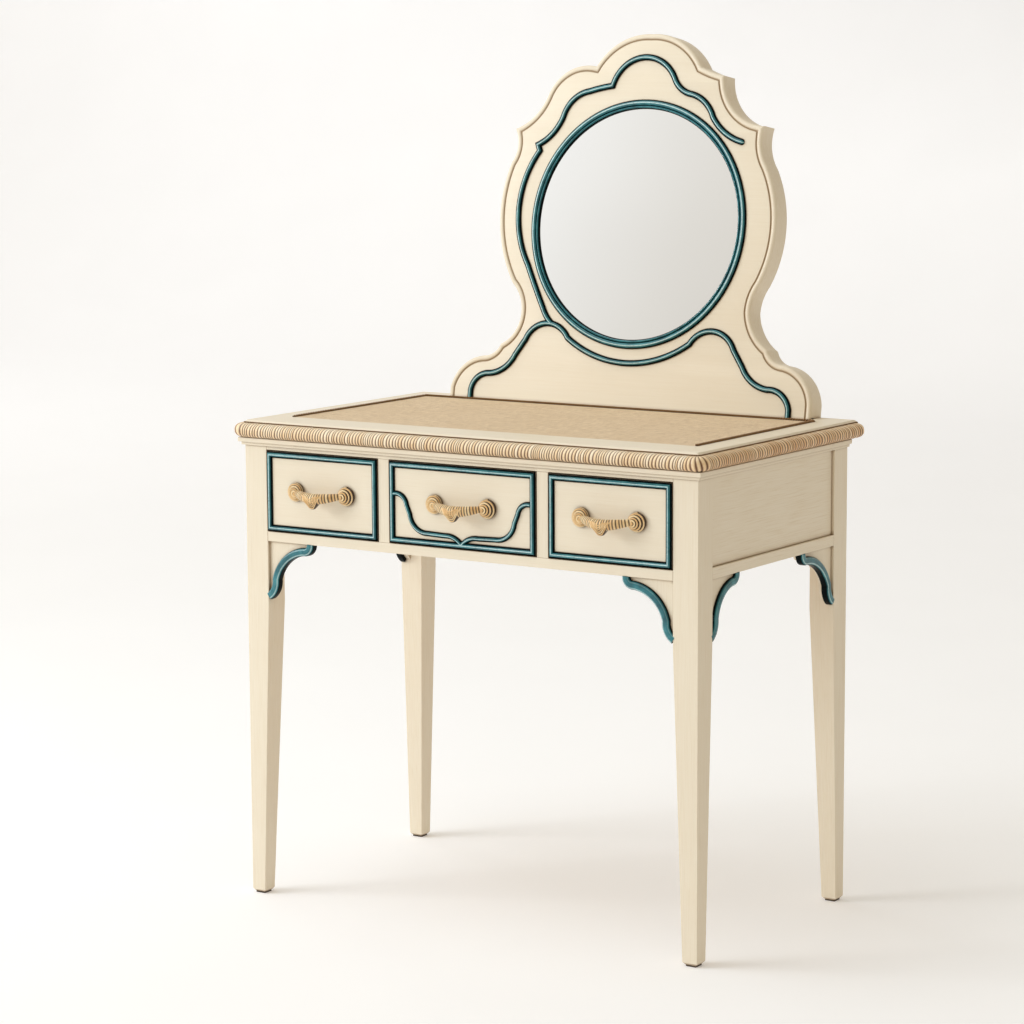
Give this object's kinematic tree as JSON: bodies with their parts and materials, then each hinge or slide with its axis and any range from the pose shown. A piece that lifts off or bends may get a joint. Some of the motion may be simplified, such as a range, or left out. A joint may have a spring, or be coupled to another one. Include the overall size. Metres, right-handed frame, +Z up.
{
  "type": "vanity table with mirror",
  "caption": "Painted vanity table with a roped top edge, a woven inlay, drawers on slides with wrapped bow pulls, and a shaped mirror board with a round glass that leans back.",
  "frame": {"origin": "on the floor, under the middle of the object's bounding box", "axes": "+Z up from the floor, +X to the right as seen from the front, -Y towards the person who sits at the table"},
  "size_m": [0.856, 0.6117, 1.3556],
  "materials": {
    "cream_paint": "brushed cream paint, satin",
    "teal_paint": "glossy teal paint",
    "straw_wrap": "wrapped straw, satin",
    "cane_wrap": "wrapped cane, lacquered",
    "woven_panel": "fine weave, matt",
    "twisted_cord": "twisted cord, matt",
    "mirror_silver": "silvered glass",
    "steel": "brushed",
    "bare_wood": "oiled wood",
    "dark_glide": "matt",
    "backing_board": "raw hardboard"
  },
  "bodies": {
    "table": {"leg_front_left": "cream_paint", "leg_front_right": "cream_paint", "leg_back_left": "cream_paint", "leg_back_right": "cream_paint", "foot_glides": "dark_glide", "front_top_rail": "cream_paint", "front_bottom_rail": "cream_paint", "drawer_dividers": "cream_paint", "side_panel_left": "cream_paint", "side_panel_right": "cream_paint", "side_rails_left": "cream_paint", "side_rails_right": "cream_paint", "back_panel": "cream_paint", "drawer_partitions": "bare_wood", "drawer_runners": "bare_wood", "drawer_stops": "bare_wood", "cornice": "cream_paint", "deck_board": "cream_paint", "inlay_panel": "woven_panel", "inlay_cord": "twisted_cord", "rope_edge": "straw_wrap", "brackets_front": "cream_paint", "brackets_side": "cream_paint", "brackets_back": "cream_paint", "scrolls_front": "teal_paint", "scrolls_side": "teal_paint", "mirror_board": "cream_paint", "mirror_backing": "backing_board", "mirror_glass": "mirror_silver", "mirror_ring": "teal_paint", "bead_upper": "teal_paint", "bead_left": "teal_paint", "bead_lower": "teal_paint", "mirror_straps": "steel", "mirror_strap_screws": "steel"},
    "drawer_left": {"drawer_left_front": "cream_paint", "drawer_left_frame_bead": "teal_paint", "drawer_left_sides": "bare_wood", "drawer_left_back": "bare_wood", "drawer_left_bottom": "bare_wood", "drawer_left_handle_screws": "steel", "drawer_left_rosettes": "cane_wrap", "drawer_left_grip": "cane_wrap"},
    "drawer_middle": {"drawer_middle_front": "cream_paint", "drawer_middle_frame_bead": "teal_paint", "drawer_middle_sides": "bare_wood", "drawer_middle_back": "bare_wood", "drawer_middle_bottom": "bare_wood", "drawer_middle_handle_screws": "steel", "drawer_middle_rosettes": "cane_wrap", "drawer_middle_grip": "cane_wrap", "drawer_middle_curved_bead": "teal_paint"},
    "drawer_right": {"drawer_right_front": "cream_paint", "drawer_right_frame_bead": "teal_paint", "drawer_right_sides": "bare_wood", "drawer_right_back": "bare_wood", "drawer_right_bottom": "bare_wood", "drawer_right_handle_screws": "steel", "drawer_right_rosettes": "cane_wrap", "drawer_right_grip": "cane_wrap"}
  },
  "joints": [
    {"name": "drawer_left_slide", "type": "slide", "parent": "table", "child": "drawer_left", "axis": [0, -1, 0], "range_m": [0, 0.29]},
    {"name": "drawer_middle_slide", "type": "slide", "parent": "table", "child": "drawer_middle", "axis": [0, -1, 0], "range_m": [0, 0.29]},
    {"name": "drawer_right_slide", "type": "slide", "parent": "table", "child": "drawer_right", "axis": [0, -1, 0], "range_m": [0, 0.29]}
  ]
}
